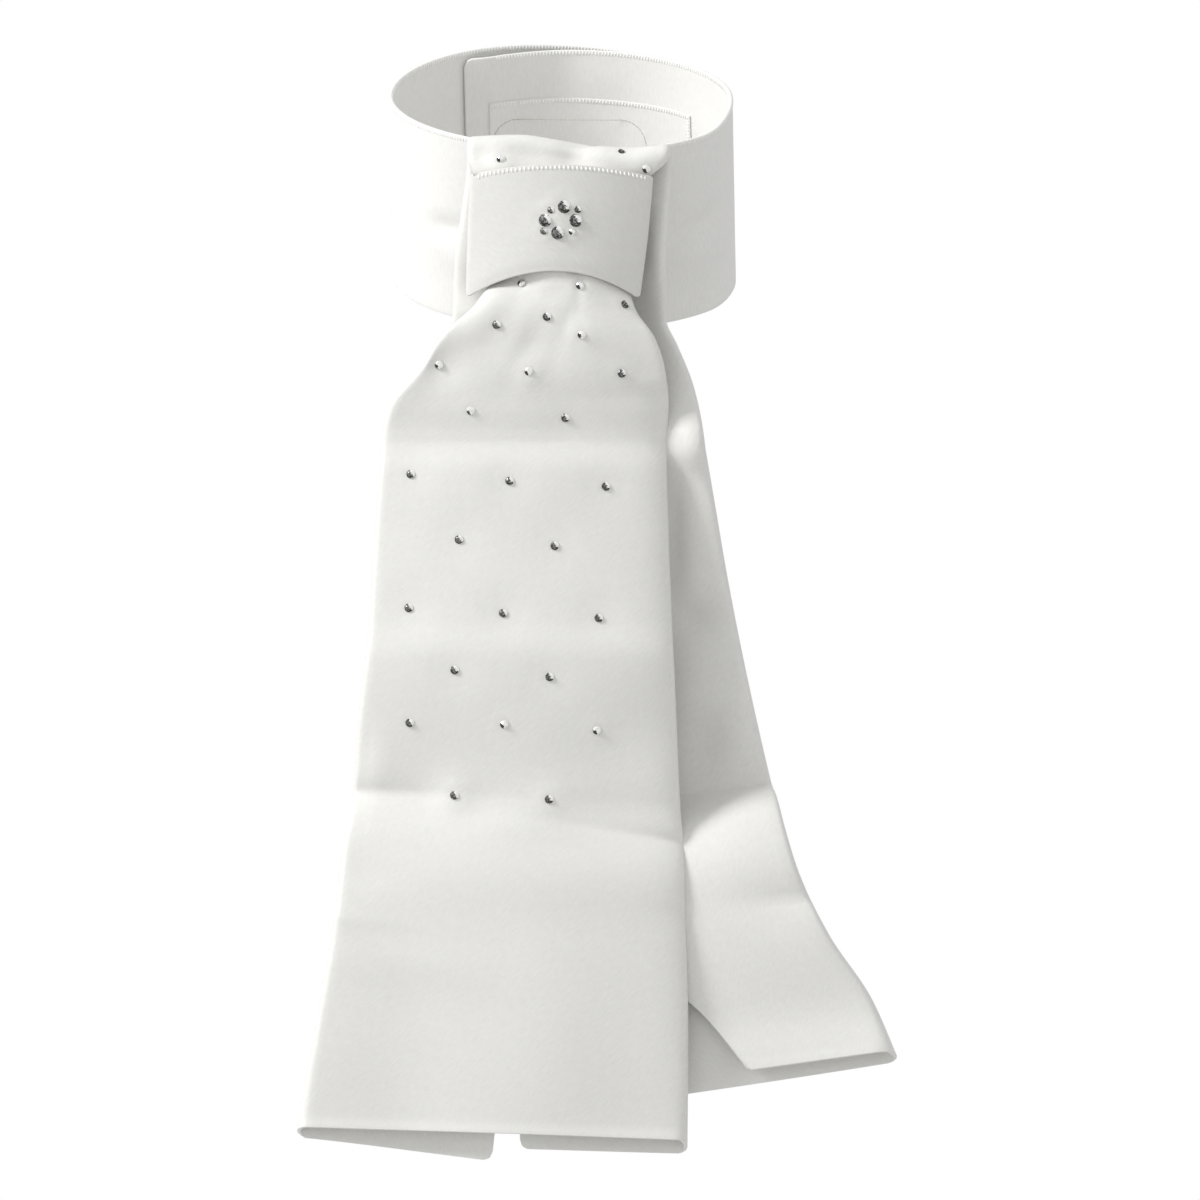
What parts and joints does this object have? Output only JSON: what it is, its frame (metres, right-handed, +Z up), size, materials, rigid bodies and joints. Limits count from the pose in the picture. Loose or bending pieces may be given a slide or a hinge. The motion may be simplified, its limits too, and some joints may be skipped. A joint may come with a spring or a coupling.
{
  "type": "stock tie",
  "caption": "Ready-tied white satin stock tie: upright collar band closed at the back, sewn knot wrap, two folded tails and small flat-backed stones.",
  "frame": {"origin": "middle of the neck opening, halfway up the collar band", "axes": "+Z up, the front with the knot wrap faces -Y, +X is to the right as seen from the front; the collar's axis leans 17.3 degrees towards -Y"},
  "size_m": [0.203, 0.188, 0.3793],
  "materials": {
    "satin": "white satin with a soft sheen",
    "closure_tape": "matt white hook and loop tape",
    "crystal": "clear cut glass with a mirror back"
  },
  "bodies": {
    "root": {"neck_band": "satin", "back_facing": "satin", "closure_patch": "closure_tape", "tail_strip": "satin", "knot_wrap": "satin", "crystal_ring_1": "crystal", "crystal_ring_2": "crystal", "crystal_ring_3": "crystal", "crystal_ring_4": "crystal", "crystal_ring_5": "crystal", "crystal_ring_6": "crystal", "crystal_ring_7": "crystal", "crystal_ring_8": "crystal", "crystal_fold_1": "crystal", "crystal_fold_2": "crystal", "crystal_fold_3": "crystal", "crystal_tail_1": "crystal", "crystal_tail_2": "crystal", "crystal_tail_3": "crystal", "crystal_tail_4": "crystal", "crystal_tail_5": "crystal", "crystal_tail_6": "crystal", "crystal_tail_7": "crystal", "crystal_tail_8": "crystal", "crystal_tail_9": "crystal", "crystal_tail_10": "crystal", "crystal_tail_11": "crystal", "crystal_tail_12": "crystal", "crystal_tail_13": "crystal", "crystal_tail_14": "crystal", "crystal_tail_15": "crystal", "crystal_tail_16": "crystal", "crystal_tail_17": "crystal", "crystal_tail_18": "crystal", "crystal_tail_19": "crystal", "crystal_tail_20": "crystal", "crystal_tail_21": "crystal", "crystal_tail_22": "crystal", "crystal_tail_23": "crystal", "crystal_tail_24": "crystal", "crystal_tail_25": "crystal", "crystal_tail_26": "crystal"}
  },
  "joints": []
}
